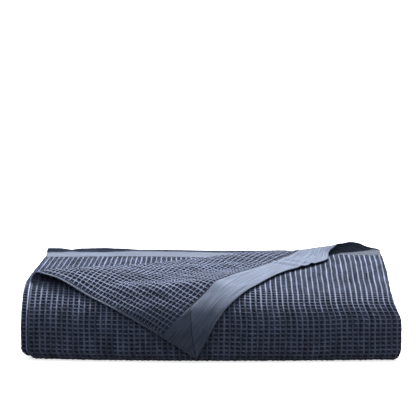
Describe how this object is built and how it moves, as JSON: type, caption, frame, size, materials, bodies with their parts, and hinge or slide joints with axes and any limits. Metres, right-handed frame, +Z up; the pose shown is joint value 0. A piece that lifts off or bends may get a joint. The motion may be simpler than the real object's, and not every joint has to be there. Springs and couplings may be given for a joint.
{
  "type": "folded waffle weave cotton blanket",
  "caption": "Slate blue waffle weave cotton blanket, folded flat into a soft stack of layers, with one top corner turned over towards the front to show its plain hem and mitred corner.",
  "frame": {"origin": "centre of the bounding box on the surface the folded blanket rests on", "axes": "+X along the front from the free edges at the left to the folds at the right, +Y from the folded front towards the hems at the back, +Z up through the layers"},
  "size_m": [0.5636, 0.3783, 0.1289],
  "materials": {
    "waffle_cotton": "matte waffle weave cotton, slate blue, with plain woven hems"
  },
  "bodies": {
    "root": {"blanket": "waffle_cotton"}
  },
  "joints": []
}
